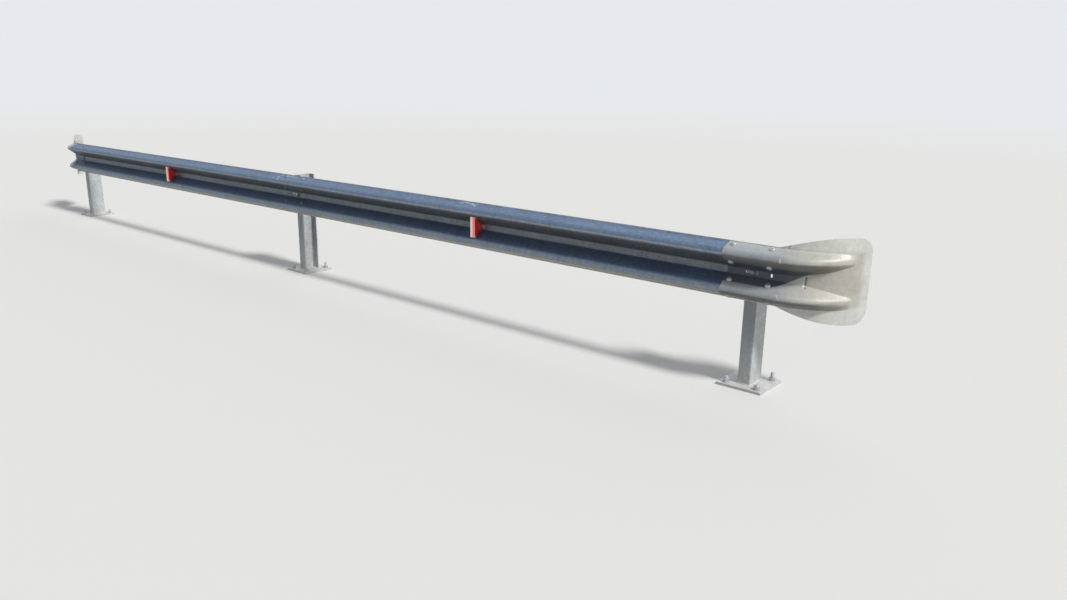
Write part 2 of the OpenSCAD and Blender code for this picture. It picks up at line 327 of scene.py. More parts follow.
# %% Draw the section
inner_flank, outer_flank = flank(VALLEY_R, INNER_SLOPE), flank(EDGE_R, OUTER_SLOPE)
outer_run = ((EDGE_R + CREST_R) * sin(OUTER_SLOPE)
             + outer_flank * cos(OUTER_SLOPE) + EDGE_STRIP)
inner_run = ((VALLEY_R + CREST_R) * sin(INNER_SLOPE)
             + inner_flank * cos(INNER_SLOPE))
valley_centre = Vector((HALF_HEIGHT - inner_run - outer_run, VALLEY_R))
crest_centre = Vector((HALF_HEIGHT - outer_run, WAVE_DEPTH - CREST_R))
edge_centre = Vector((HALF_HEIGHT - EDGE_STRIP, EDGE_R))
inner_start = valley_centre - VALLEY_R * facing(INNER_SLOPE)
outer_start = crest_centre + CREST_R * facing(-OUTER_SLOPE)

half_section = [
    *straight(Vector((0.0, 0.0)), valley_centre[0], 0.0),
    *bend(valley_centre, -VALLEY_R, 0, INNER_SLOPE),
    *straight(inner_start, inner_flank, INNER_SLOPE),
    *bend(crest_centre, CREST_R, INNER_SLOPE, -OUTER_SLOPE),
    *straight(outer_start, outer_flank, -OUTER_SLOPE),
    *bend(edge_centre, -EDGE_R, -OUTER_SLOPE, 0),
    (edge_centre[0], 0.0, 0.0),
    (HALF_HEIGHT, 0.0, 0.0),
]
section = [(-h, f, -a) for h, f, a in half_section[:0:-1]] + half_section
print("points round the section:", len(section), "- crest at", round(crest_centre[0], 4))

# %% [markdown]
# ## The line of the beam
#
# At each post two sheets lie on each other, the next one further forward by one sheet, as
# tiles do. So the beam turns by a tiny angle along its length. One matrix holds that turn,
# and everything bolted to the beam is placed through it.

# %% Place things on the beam
POST_PITCH, POST_DEPTH, RAIL_CENTRE = 4.0, 140.0 * MM, 637.0 * MM
SEAT_GAP, LAP_REACH, SPLICE_PITCH = mm(0.1, 140, 216)
shingle = asin(SHEET_STEP / POST_PITCH)
beam_pitch = POST_PITCH / cos(shingle)
beam = (Matrix.Translation((-POST_PITCH, -POST_DEPTH / 2 - SEAT_GAP, RAIL_CENTRE))
        @ Matrix.Rotation(shingle, 4, "Z"))
# Where the splice bolts sit on the flanks, as shares of their lengths
INNER_SHARE, OUTER_SHARE = 0.47, 0.68
SPLICE_POINTS = [
    (*(inner_start + INNER_SHARE * inner_flank * rising(INNER_SLOPE)), INNER_SLOPE),
    (*(outer_start + OUTER_SHARE * outer_flank * rising(-OUTER_SLOPE)), -OUTER_SLOPE),
]


def moved(point, off):
    """A point of the section moved off metres towards the road, as height and forward."""
    return Vector(point[:2]) + off * facing(point[2])


def seat(along, point, off=0.0):
    """A frame on the sheet at a point of the section: Z leaves the sheet, X runs along."""
    height, forward = moved(point, off)
    return (beam @ Matrix.Translation((along, -forward, height))
            @ Matrix.Rotation(pi / 2 + point[2], 4, "X"))


def splice_seats(post, off):
    """Frames for the eight splice bolts at a post."""
    for side in (-1, 1):
        for height, forward, slope in SPLICE_POINTS:
            for up in (-1, 1):
                yield seat(post * beam_pitch + side * SPLICE_PITCH / 2,
                           (up * height, forward, up * slope), off)


print("turn of the beam:", round(degrees(shingle), 4), "degrees")

# %% [markdown]
# ## Building solids in code
#
# Small parts such as bolts are built from rings of points joined by faces. A short class
# collects any number of such solids into one mesh, which keeps the scene light: all the
# bolts of one joint are one object.

# %% Rings of points become solids
SOFTENED_FROM = radians(50)


class Forge:
    """Collects solids that together are one piece."""

    def __init__(self):
        self.points, self.faces = [], []

    def loft(self, rings, place=None):
        """A closed solid through rings with equal numbers of points, capped at its ends."""
        count, start = len(rings[0]), len(self.points)
        for ring in rings:
            self.points += [(place or Matrix()) @ Vector(p) for p in ring]
        for r in range(len(rings) - 1):
            for i in range(count):
                a, b = start + r * count + i, start + r * count + (i + 1) % count
                self.faces.append((a, b, b + count, a + count))
        last = start + (len(rings) - 1) * count
        self.faces.append(tuple(range(start, start + count))[::-1])
        self.faces.append(tuple(range(last, last + count)))

    def turned(self, profile, place, sides=24, across_flats=None):
        """A turned solid from radius and height pairs, with six flats where asked."""
        def spoke(radius, height, angle):
            off_flat = (angle + pi / 6) % (pi / 3) - pi / 6
            r = min(radius, across_flats / 2 / cos(off_flat)) if across_flats else radius
            return r * cos(angle), r * sin(angle), height
        turns = [tau * i / sides for i in range(sides)]
        self.loft([[spoke(*pair, angle) for angle in turns] for pair in profile], place)

    def solid(self, name):
        """The mesh object alone, with its faces turned outwards."""
        mesh = bpy.data.meshes.new(name)
        mesh.from_pydata(self.points, [], self.faces)
        work = bmesh.new()
        work.from_mesh(mesh)
        bmesh.ops.recalc_face_normals(work, faces=work.faces)
        work.to_mesh(mesh)
        work.free()
        made = bpy.data.objects.new(name, mesh)
        bpy.context.collection.objects.link(made)
        return made

    def piece(self, name, slot, material, sharp=40, bevel=0.0, cutter=None, node=None):
        """The finished piece, which rides on the body and may replace a node."""
        made = self.solid(name)
        if bevel:
            rounding = made.modifiers.new("rounding", "BEVEL")
            rounding.width, rounding.segments = bevel, 2
            rounding.limit_method, rounding.angle_limit = "ANGLE", SOFTENED_FROM
        if cutter:
            drill = made.modifiers.new("drill", "BOOLEAN")
            drill.operation, drill.object, drill.solver = "DIFFERENCE", cutter, "EXACT"
        if bevel or cutter:
            bake_modifiers(made)
        if cutter:
            bpy.data.objects.remove(cutter)
        made.data.shade_smooth()
        made.data.set_sharp_from_angle(angle=radians(sharp))
        shading = made.modifiers.new("even shading", "WEIGHTED_NORMAL")
        shading.keep_sharp = True
        bake_modifiers(made)
        made.data.materials.append(material)
        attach(made, "root")
        if node:
            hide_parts(node)
        print(name, len(made.data.polygons), "faces")


def bake_modifiers(made):
    """Replaces a mesh by what its modifiers make of it."""
    seen = made.evaluated_get(bpy.context.evaluated_depsgraph_get())
    made.data = bpy.data.meshes.new_from_object(seen)
    made.modifiers.clear()


print("the forge is ready")

# %% [markdown]
# ## Holes
#
# Every hole goes through all the sheets at a post: eight round splice holes on the flanks,
# a long slot in the valley for the post bolt, and a small upright slot near the sheet's
# end. They could be left out of the grid of each sheet, but a Boolean with a set of plugs
# cuts them all at once and keeps them round.

# %% Plugs for the holes
SPLICE_HOLE, CUT_BACK, CUT_FRONT = mm(18, -4, 17)
POST_SLOT, VALLEY_SLOT, SLOT_POINTS = mm(72, 22), mm(12, 20), 32


def slot_ring(width, height, depth):
    """Outline of a slot with round ends."""
    across = min(width, height)
    ring = []
    for i in range(SLOT_POINTS):
        angle = tau * (i + 0.5) / SLOT_POINTS
        x, z = cos(angle), sin(angle)
        ring.append((copysign((width - across) / 2, x) + across / 2 * x, -depth,
                     copysign((height - across) / 2, z) + across / 2 * z))
    return ring


def plug_lap(forge, post, end_side):
    """Adds the plugs for one post's holes in one sheet."""
    for place in splice_seats(post, 0.0):
        forge.turned([(SPLICE_HOLE / 2, CUT_BACK), (SPLICE_HOLE / 2, CUT_FRONT)], place)
    for slot, aside in ((POST_SLOT, 0.0), (VALLEY_SLOT, end_side * SPLICE_PITCH / 2)):
        middle = beam @ Matrix.Translation((post * beam_pitch + aside, 0, 0))
        forge.loft([slot_ring(*slot, d) for d in (CUT_BACK, CUT_FRONT)], middle)


print("splice holes in a lap:", len(list(splice_seats(0, 0.0))), "and two slots")

# %% [markdown]
# ## Skinning a sheet
#
# A sheet is a grid of points: stations along its length, and the section's points across.
# Doing this twice, for the back and the front, and closing the rim gives a real 3 mm
# sheet. The grid could be coarse, but long highlights on zinc show every unevenness, so
# it is fine enough to carry gentle ripples.

# %% Skin a sheet from a rule for its points
# Each ripple has a depth and its lumps per metre, along and across the sheet
RIPPLES = ((1.3 * MM, 1.3, 5, 3.1), (0.35 * MM, 7.0, 16, 8.4))
CALM_REACH, CALM_FADE = 0.16, 0.5
HELD_PLACES = 5     # three posts and two reflectors, half a bay apart


def sheet_forge(stations, point_at):
    """point_at(station, section index, distance from the back) gives each point."""
    forge, columns = Forge(), len(section)
    for off in (0.0, SHEET):
        forge.points += [point_at(s, i, off) for s in stations for i in range(columns)]
    layer, rows = len(stations) * columns, len(stations)
    for j in range(rows - 1):
        for i in range(columns - 1):
            a = j * columns + i
            back = (a, a + columns, a + columns + 1, a + 1)
            forge.faces += [back, tuple(layer + k for k in back[::-1])]
    rim = [j * columns for j in range(rows - 1)]
    rim += [(rows - 1) * columns + i for i in range(columns - 1)]
    rim += [j * columns + columns - 1 for j in range(rows - 1, 0, -1)]
    rim += list(range(columns - 1, 0, -1))
    for a, b in zip(rim, rim[1:] + rim[:1]):
        forge.faces.append((a, b, layer + b, layer + a))
    return forge


def soft_step(value):
    """0 to 1 with an easy start and end."""
    t = max(0.0, min(1.0, value))
    return t * t * (3 - 2 * t)


def ripple(along, height):
    """Unevenness of the rolled sheet, calm where sheets are bolted or carry a reflector."""
    half_bay = beam_pitch / 2
    held = min(abs(along / half_bay - k) for k in range(HELD_PLACES)) * half_bay
    waves = sum(depth * noise.noise(Vector((along * long, height * across, place)))
                for depth, long, across, place in RIPPLES)
    return soft_step((held - CALM_REACH) / CALM_FADE) * waves


print("a sheet is", round(SHEET / MM, 1), "mm thick, with", len(section), "points across")

# %% [markdown]
# ## The rails
#
# Each rail is a straight length of the section that reaches past its two posts to lap over
# its neighbours. The left rail is the second sheet out from the posts, the right rail the
# third. An outline could be extruded and moved into place, but a rule for each point puts
# in the sheet's layer, turn and ripples at once.

# %% Shape of a rail
STATION_STEP, SHEET_ROUNDING = mm(30, 0.7)
SHEET_SHARP = 35    # degrees between faces from which an edge is drawn sharp


def rail_sheet(bay):
    """The rail over one bay, counted from the left, and the plugs for its holes."""
    layer = bay + 1

    def point_at(along, i, off):
        height, forward = moved(section[i], layer * SHEET_STEP + off
                                + ripple(along, section[i][0]))
        return beam @ Vector((along, -forward, height))

    start = bay * beam_pitch - LAP_REACH
    length = beam_pitch + 2 * LAP_REACH
    stations = [*steps(start, start + length, STATION_STEP), start + length]
    plugs = Forge()
    for end in (0, 1):
        plug_lap(plugs, bay + end, 2 * end - 1)
    return sheet_forge(stations, point_at), plugs.solid("plugs")


print("a rail is", round((beam_pitch + 2 * LAP_REACH) / MM), "mm long")

# %% [markdown]
# ## The rails' finish
#
# Dull zinc mirrors what is round it as soft bands, and the upper wave shades the valley
# and the lower wave. A studio has little to mirror, so here both are painted into the
# colour as a ramp over the height of the road side: painted reflection and highlights on
# the faces that look up and on the crests, and painted shade on the faces that look down
# and on the lower flank under the upper wave. A bluish specular tint adds to the painted
# reflection. Streaks along the sheet, runs down it and rubbed places near the bolts break
# them up.

# %% Finish the rails
# Painted reflection, highlight and shade, from the lower edge to the upper one, by height
# from the middle in millimetres
REFLECTION_SHADE_BANDS = [
    (-155, (0.46, 0.45, 0.42)), (-143, (0.36, 0.36, 0.34)), (-112, (0.33, 0.34, 0.34)),
    (-103, (0.29, 0.32, 0.36)), (-84, (0.18, 0.235, 0.31)), (-70, (0.085, 0.12, 0.20)),
    (-24, (0.09, 0.125, 0.19)), (-12, (0.18, 0.20, 0.22)), (14, (0.19, 0.21, 0.23)),
    (26, (0.12, 0.135, 0.15)), (84, (0.165, 0.185, 0.21)), (93, (0.38, 0.41, 0.45)),
    (103, (0.165, 0.235, 0.35)), (148, (0.18, 0.25, 0.37)), (155, (0.50, 0.54, 0.57)),
]
# The last colour here is a painted reflection: a bluish tint on what the zinc mirrors.
BACK_TONE, RUBBED_TONE, PAINTED_REFLECTION_TINT = ((0.45, 0.47, 0.49), (0.74, 0.76, 0.77),
                                       (0.45, 0.52, 0.62, 1))
ROAD_SIDE = 0.05, -0.15     # where a face counts as turned to the road, by its normal's Y
STREAK_LUMPS, RUN_LUMPS = (1.5, 40.0, 110.0), (45.0, 3.0, 3.0)
# Strokes in millimetres: from, to and the width to either side
RUBS = [((-175, -146, 751), (-208, -102, 768), 12),
        ((-197, -90, 773), (-178, -74, 781), 13),
        ((-87, -83, 779), (15, -89, 776), 10),
        ((-70, -74, 643), (-45, -74, 641), 10),
        ((1870, -86, 777), (1923, -79, 780), 10),
        ((1923, -79, 780), (1991, -89, 776), 11),
        ((1991, -89, 776), (2033, -82, 779), 9),
        ((1989, -88, 776), (2025, -106, 770), 12)]


def rail_finish():
    """Bands of painted reflection and shade on the road side, with streaks, runs and rubs."""
    bench = Bench("rail zinc")
    brightness, change = zinc_coat(bench, 0.22, 0.4)
    height = (bench.place.axis("Z") - (RAIL_CENTRE - HALF_HEIGHT)) * (0.5 / HALF_HEIGHT)
    stops = [((level * MM / HALF_HEIGHT + 1) / 2, tone) for level, tone in REFLECTION_SHADE_BANDS]
    # The ramp paints reflection, highlight and shade into the colour, on the road side only.
    front = bench.add("ShaderNodeValToRGB", {"stops": stops}, {"Fac": height}, "Color")
    tone = bench.mix(bench.normal("Y").fade(*ROAD_SIDE), BACK_TONE, front)
    streaks = bench.cloud(1.0, 4.0, bench.place * STREAK_LUMPS)
    runs = bench.cloud(1.0, 4.0, bench.place * RUN_LUMPS)
    tone = tone * (brightness + streaks * 0.35 + runs * 0.2)
    patchy = bench.cloud(140.0, 4.0).fade(-0.18, 0.05)
    rubbed = bench.strokes(RUBS) * patchy
    tone = bench.mix(rubbed * 0.8, tone, RUBBED_TONE)
    return zinc_surface(bench, tone, change + 0.40 + rubbed * 0.1, 0.4, (streaks, 0.3 * MM),
                        **{"Specular Tint": PAINTED_REFLECTION_TINT})


rail_zinc = rail_finish()
for bay, name in enumerate(("rail_left", "rail_right")):
    forge, cutter = rail_sheet(bay)
    forge.piece(name + "_sheet", "rail_zinc", rail_zinc, SHEET_SHARP, SHEET_ROUNDING,
                cutter, node=name)

# %% [markdown]
# ## The terminals
#
# A terminal is one sheet that starts as the rail's section and ends as a flat lip with
# round corners, bent away from the road on the way. Modelling tools could loft between two
# outlines, but a rule is clearer: the crests keep their heights while the waves' depth
# fades as a cosine, the inner feet draw in towards the crests, and the edge strips widen
# into flanges. Forming the waves flat leaves creases, and the end gets knocked, so a few
# dents are pressed in along the normals.

# %% Rules of the fan
BEND_R, BEND_ANGLE = 430.0 * MM, radians(61)
FAN_RISE, FLARE_LENGTH = mm(70, 340)
FLAT_LIP, FAN_CORNER = mm(85, 78)
FOOT_SHARE = 0.15           # how much of a wave's inner side is left at the lip
fan_length = BEND_R * BEND_ANGLE
fan_end = LAP_REACH + fan_length
# Dents in millimetres: from and to, each a distance from the post and a height, then the
# width and the depth towards the road
DENTS = [((183, 146), (206, 170), 6, -3), ((170, 112), (172, 92), 5, 1),
         ((281, 15), (277, -44), 4, -2.6), ((270, 6), (268, -46), 6, 1.4),
         ((168, -78), (178, -98), 4, 1)]
# Unevenness: depth, lumps per metre and a place in the noise
BUCKLES = ((2.4 * MM, 7, 1.7), (0.5 * MM, 24, 5.2))
CALM_START, CALM_END = 0.12, 0.06


def share(part, whole):
    """A part of a whole, from 0 to 1."""
    return max(0.0, min(1.0, part / whole))


def wave_left(s):
    """How much of the waves' depth is left at a distance from the post."""
    return cos(pi / 2 * share(s - LAP_REACH, fan_length - FLAT_LIP))


def drawn_in(height, left):
    """Where a height goes as the waves fade: their inner feet draw in towards the crests."""
    foot, crest, size = valley_centre[0], crest_centre[0], abs(height)
    kept = FOOT_SHARE + (1 - FOOT_SHARE) * left
    on_flat = size * (crest - (crest - foot) * kept) / foot
    on_flank = max(size, crest - (crest - size) * kept)
    return copysign(on_flat if size < foot else on_flank, height)


def fan_half(s):
    """Half the sheet's height at a distance from the post."""
    left = min(FAN_CORNER, fan_end - s)
    cut = FAN_CORNER - sqrt(max(0.0, FAN_CORNER ** 2 - (FAN_CORNER - left) ** 2))
    rise = FAN_RISE * sin(pi / 2 * share(s - LAP_REACH, FLARE_LENGTH))
    return HALF_HEIGHT - cut + rise


def dent(s, height):
    """How far the sheet is pushed towards the road by dents and unevenness."""
    push, p = 0.0, Vector((s, height)) / MM
    for start, end, width, depth in DENTS:
        way, from_start = Vector(end) - Vector(start), p - Vector(start)
        off = from_start - share(from_start.dot(way), way.length_squared) * way
        push += depth * MM * exp(-(off.length / width) ** 2)
    free = soft_step((s - LAP_REACH) / CALM_START) * soft_step((fan_end - s) / CALM_END)
    return push + free * sum(depth * noise.noise(Vector((s * lumps, height * lumps, place)))
                             for depth, lumps, place in BUCKLES)


print("a terminal's sheet is", round((fan_end + LAP_REACH) / MM), "mm long and",
      round(2 * (HALF_HEIGHT + FAN_RISE) / MM), "mm high at its lip")

# %% Shape of a terminal
FAN_STEP, CORNER_STEPS = 4.0 * MM, 12


def fan_forge(post, side, layer):
    """A terminal at a post, pointing along +X for side 1 and along -X for side -1."""
    last = len(section) - 1

    def point_at(s, i, off):
        height, forward, slope = section[i]
        k, half = wave_left(s), fan_half(s)
        edge = i in (0, last)
        squeeze = min(1.0, (half - EDGE_STRIP) / (HALF_HEIGHT - EDGE_STRIP))
        height = copysign(half, height) if edge else squeeze * drawn_in(height, k)
        way = Vector((k * facing(slope)[0], facing(slope)[1])).normalized()
        off += layer * SHEET_STEP + dent(s, height)
        h, f = Vector((height, k * forward)) + off * way
        if s <= LAP_REACH:
            x, y = s, -f
        else:
            a = (s - LAP_REACH) / BEND_R
            x = LAP_REACH + (BEND_R + f) * sin(a)
            y = BEND_R * (1 - cos(a)) - f * cos(a)
        return beam @ Vector((post * beam_pitch + side * x, y, h))

    corner = [fan_end - FAN_CORNER * (1 - sin(pi / 2 * i / CORNER_STEPS))
              for i in range(CORNER_STEPS + 1)]
    stations = [*steps(-LAP_REACH, LAP_REACH, 3 * FAN_STEP),
                *steps(LAP_REACH, corner[0], FAN_STEP), *corner]
    plugs = Forge()
    plug_lap(plugs, post, side)
    return sheet_forge(stations, point_at), plugs.solid("plugs")


print("a lip's corner is", round(FAN_CORNER / MM), "mm round, in", CORNER_STEPS, "steps")

# %% [markdown]
# ## The terminals' finish
#
# This sheet has been formed and handled more than the rails, and has a warm dull coat.
# Light catching its dents and the ridges near the lip is painted as pale strokes and
# speckles, the crease gets a painted dark line of shade, and the flanges and lip are
# paler. The undersides of the waves and the wedge of the valley lie in shade. Lamps soft
# enough for the rest leave them too light, so part of that shade is painted on the road side.

# %% Finish the terminals
# Reaches from the post and heights from the rail's centre are in metres, strokes in
# millimetres as before
NEAR_TONE, FAN_TONE, RIM_TONE = (0.40, 0.43, 0.46), (0.55, 0.54, 0.485), (0.75, 0.76, 0.73)
# Tones of painted shade for the undersides of the waves and the wedge of the valley.
UNDERSIDE_SHADE_TONE, WEDGE_SHADE_TONE = (0.12, 0.12, 0.11), (0.06, 0.075, 0.10)
HIGHLIGHT_TONE, CREASE_SHADE_TONE = (0.84, 0.85, 0.82), (0.08, 0.075, 0.07)
FAN_START, LIP_RIM = (0.05, 0.42), (0.515, 0.490)
TOP_RIM, LOW_RIM = (0.165, 0.135), (-0.150, -0.120)
# Painted highlights: pale strokes where light catches the dents. Below them, the crease's dark
# line of painted shade.
DENT_HIGHLIGHTS = [((4183, -78, 783), (4204, -71, 806), 7),
             ((4178, -156, 748), (4180, -157, 730), 6),
             ((4270, -54, 643), (4269, -54, 614), 5),
             ((4269, -54, 614), (4273, -69, 592), 5),
             ((4174, -150, 558), (4186, -156, 540), 6)]
CREASE_SHADE = [((4282, -50, 652), (4280, -51, 621), 7),
           ((4280, -51, 621), (4281, -63, 593), 7)]


def terminal_finish():
    """Creamier zinc than the rails', with painted shade below and painted highlights at the dents
    and along the ridges.
    """
    bench = Bench("terminal zinc")
    brightness, change = zinc_coat(bench, 0.08, 0.3)
    height = bench.place.axis("Z") - RAIL_CENTRE
    reach = bench.add("ShaderNodeMath", {"operation": "ABSOLUTE"},
                      {0: bench.place.axis("X")}) - POST_PITCH
    tone = bench.mix(reach.fade(*FAN_START), NEAR_TONE, FAN_TONE)
    # The top and bottom flanges and the lip are painted paler.
    rim = 1.0 - height.fade(*TOP_RIM) * height.fade(*LOW_RIM) * reach.fade(*LIP_RIM)
    tone = bench.mix(rim * 0.8, tone, RIM_TONE)
    road_side = bench.normal("Y").fade(*ROAD_SIDE)
    # Painted shade on the road side: faces that look down, then the wedge under the upper wave.
    underside_shade = bench.normal("Z").fade(0.05, -0.40) * reach.fade(0.54, 0.32) * road_side
    tone = bench.mix(underside_shade * 0.8, tone, UNDERSIDE_SHADE_TONE)
    shade_low_edge = reach.fade(0.09, 0.39, -0.055, 0.062)
    wedge_shade = (height.fade(0.065, 0.040) * (height - shade_low_edge).fade(-0.004, 0.004)
             * reach.fade(0.44, 0.26) * road_side)
    tone = bench.mix(wedge_shade * 0.9, tone, WEDGE_SHADE_TONE)
    smears = bench.cloud(3.5, 6.0)
    tone = tone * (brightness + smears * 0.4)
    # Painted highlight along the ridges near the lip, broken into speckles.
    ridges = height.ridge(0.106, 0.128, 0.158) + height.ridge(-0.102, -0.080, -0.054)
    patchy = bench.cloud(260.0, 3.0).fade(-0.12, 0.20)
    ridge_highlight = ridges * patchy * reach.fade(0.32, 0.40) * reach.fade(0.50, 0.47)
    painted_highlight = (bench.strokes(DENT_HIGHLIGHTS) + ridge_highlight * 0.55).held()
    tone = bench.mix(painted_highlight * 0.85, tone, HIGHLIGHT_TONE)
    # Painted shade: the crease's dark line.
    tone = bench.mix(bench.strokes(CREASE_SHADE).held() * 0.85, tone, CREASE_SHADE_TONE)
    return zinc_surface(bench, tone, change + 0.5 - painted_highlight * 0.12, 0.15, (painted_highlight, 0.2 * MM))


terminal_zinc = terminal_finish()
for post, side, layer, name in ((0, -1, 0, "terminal_left"), (2, 1, 3, "terminal_right")):
    forge, cutter = fan_forge(post, side, layer)
    forge.piece(name + "_sheet", "terminal_zinc", terminal_zinc, SHEET_SHARP,
                SHEET_ROUNDING, cutter, node=name)

# %% [markdown]
# ## Posts
#
# Each post is a cold-formed C with small lips: a plate bent with round corners, then
# dipped. A rounded box would do from one side only, so the C is drawn as an outline and
# lofted upwards. The middle post opens towards +X and the outer ones towards -X, and only
# the middle one reaches above the rail.

# %% Shape of a post
POST_WIDTH, POST_WALL, POST_LIP, POST_CORNER = mm(76, 5, 14, 10)
POST_BOLT_HOLE, PLATE_T, LEVEL_STEP, CORNER_STEP = 17.0 * MM, 15.0 * MM, 80.0 * MM, 15
POST_SIDES = {"left": -1, "middle": 1, "right": -1}
POST_TOPS = dict(zip(POST_SIDES, mm(760, 797, 760)))


def c_path(inset, side):
    """The C's outline from one lip to the other, as points with their outward ways."""
    half_w, half_d = POST_WIDTH / 2 - inset, POST_DEPTH / 2 - inset
    radius = POST_CORNER - inset
    lip_y = POST_DEPTH / 2 - POST_LIP
    path = [(half_w, -lip_y, 1, 0)]
    for cx, cy, first in ((half_w, -half_d, 0), (-half_w, -half_d, -90),
                          (-half_w, half_d, -180), (half_w, half_d, -270)):
        cx, cy = cx - copysign(radius, cx), cy - copysign(radius, cy)
        for turn in range(0, 91, CORNER_STEP):
            a = radians(first - turn)
            path.append((cx + radius * cos(a), cy + radius * sin(a),
                         cos(a), sin(a)))
    path.append((half_w, lip_y, 1, 0))
    return [(side * x, y, side * nx, ny) for x, y, nx, ny in path]


def post_x(name):
    """Where a post stands along the rail."""
    return (list(POST_SIDES).index(name) - 1) * POST_PITCH


def post_forge(name):
    """The C from the plate to its top, and the plug for its bolt hole."""
    x0, side = post_x(name), POST_SIDES[name]
    outline = ([p[:2] for p in c_path(0, side)]
               + [p[:2] for p in reversed(c_path(POST_WALL, side))])
    levels = [*steps(PLATE_T, POST_TOPS[name], LEVEL_STEP), POST_TOPS[name]]
    forge, plug = Forge(), Forge()
    forge.loft([[(x0 + x, y, z) for x, y in outline] for z in levels])
    hole = (Matrix.Translation((x0, -POST_DEPTH / 2, RAIL_CENTRE))
            @ Matrix.Rotation(pi / 2, 4, "X"))
    plug.turned([(POST_BOLT_HOLE / 2, -POST_CORNER), (POST_BOLT_HOLE / 2, POST_CORNER)], hole)
    return forge, plug.solid("plug")


print("posts stand at", [post_x(name) for name in POST_SIDES])

# %% [markdown]
# ## The posts' finish
#
# A post drains as it is lifted from the bath, which leaves drips down its length. In use
# dust gathers at its foot. Its road side is painted darker, most near the rail above, as
# painted shade. Each of them is noise stretched along the post or a fade held to a height,
# so nothing has to be painted by hand.

# %% Finish the posts
# The third tone is painted shade for the road side.
POST_TONE, DUST_TONE, ROAD_SHADE_TONE = (0.54, 0.56, 0.57), (0.62, 0.60, 0.55), (0.24, 0.255, 0.275)
DRIP_LUMPS, POST_ROUNDING = (40.0, 40.0, 4.0), 0.6 * MM


def post_finish():
    """Bright mottled zinc with drips, dusty at the foot, with painted shade on the road side."""
    bench = Bench("post zinc")
    brightness, change = zinc_coat(bench, 0.22, 0.6)
    drips = bench.cloud(1.0, 4.0, bench.place * DRIP_LUMPS)
    tone = (brightness + drips * 0.3) * POST_TONE
    height = bench.place.axis("Z")
    dust = height.fade(0.16, 0.02) * bench.cloud(30.0, 5.0).fade(-0.2, 0.2)
    tone = bench.mix(dust * 0.6, tone, DUST_TONE)
    # Painted shade on the road side, strongest high up under the rail.
    road_side_shade = bench.normal("Y").fade(-0.4, -0.9) * height.fade(0.02, 0.40, 0.2, 0.8)
    tone = bench.mix(road_side_shade, tone, ROAD_SHADE_TONE)
    return zinc_surface(bench, tone, change + 0.42 + dust * 0.3, 0.2 - dust * 0.15,
                        (drips, 0.4 * MM))


post_zinc = post_finish()
for name in POST_SIDES:
    forge, cutter = post_forge(name)
    forge.piece(f"post_{name}_section", "post_zinc", post_zinc, bevel=POST_ROUNDING,
                cutter=cutter, node="post_" + name)

# %% [markdown]
# ## Base plates
#
# A plate is cut from flat steel, with four holes for anchor studs. It could be a scaled
# box with bevels, but then a bevel would be stretched with it. An outline whose corners
# are rounded first and then lofted keeps them true, and serves the reflectors as well.

# %% Shape of a plate
PLATE_SIDE, PLATE_CORNER, ANCHOR_HOLE = mm(260, 6, 22)
ANCHOR_X, ANCHOR_Y, PLATE_ROUNDING = mm(90, 95, 1)


def rounded(corners, radius, inset=0.0, steps_per_corner=5):
    """Rounds the corners of a convex outline given anticlockwise, after moving it in."""
    ring, count = [], len(corners)
    for i in range(count):
        before, here, after = [Vector(corners[(i + k) % count]) for k in (-1, 0, 1)]
        a, b = (here - before).normalized(), (after - here).normalized()
        out_a, out_b = Vector((a.y, -a.x)), Vector((b.y, -b.x))
        bisector = (out_a + out_b).normalized()
        centre = here - bisector * (radius / bisector.dot(out_a))
        for k in range(steps_per_corner + 1):
            way = Matrix.Rotation(out_a.angle(out_b) * k / steps_per_corner, 2) @ out_a
            ring.append(tuple(centre + way * (radius - inset)))
    return ring


def rectangle(width, height):
    """Four corners round the middle, anticlockwise."""
    w, h = width / 2, height / 2
    return [(-w, -h), (w, -h), (w, h), (-w, h)]


def anchor_places(name):
    """Frames at floor level for a plate's four anchors."""
    for x in (-ANCHOR_X, ANCHOR_X):
        for y in (-ANCHOR_Y, ANCHOR_Y):
            yield Matrix.Translation((post_x(name) + x, y, 0))


def plate_forge(name):
    """The plate, and plugs for its holes."""
    outline = rounded(rectangle(PLATE_SIDE, PLATE_SIDE), PLATE_CORNER)
    forge, plugs = Forge(), Forge()
    forge.loft([[(post_x(name) + x, y, z) for x, y in outline] for z in (0, PLATE_T)])
    for place in anchor_places(name):
        plugs.turned([(ANCHOR_HOLE / 2, -MM), (ANCHOR_HOLE / 2, PLATE_T + MM)], place)
    return forge, plugs.solid("plugs")


print("anchor holes are", round(2 * ANCHOR_X / MM), "by", round(2 * ANCHOR_Y / MM), "mm apart")

# %% [markdown]
# ## Welds
#
# The post is welded to its plate all round. A weld bead is a row of small frozen ripples.
# A plain tube would look like putty, so the bead is swept along the post's outline with a
# size that rises and falls.

# %% Shape of a weld
WELD_LEG, WELD_RIPPLE, RIPPLE_PITCH = mm(6, 0.7, 5)
WELD_STEP, WELD_SINK, WELD_LUMPS = 1.6 * MM, 0.5 * MM, 60


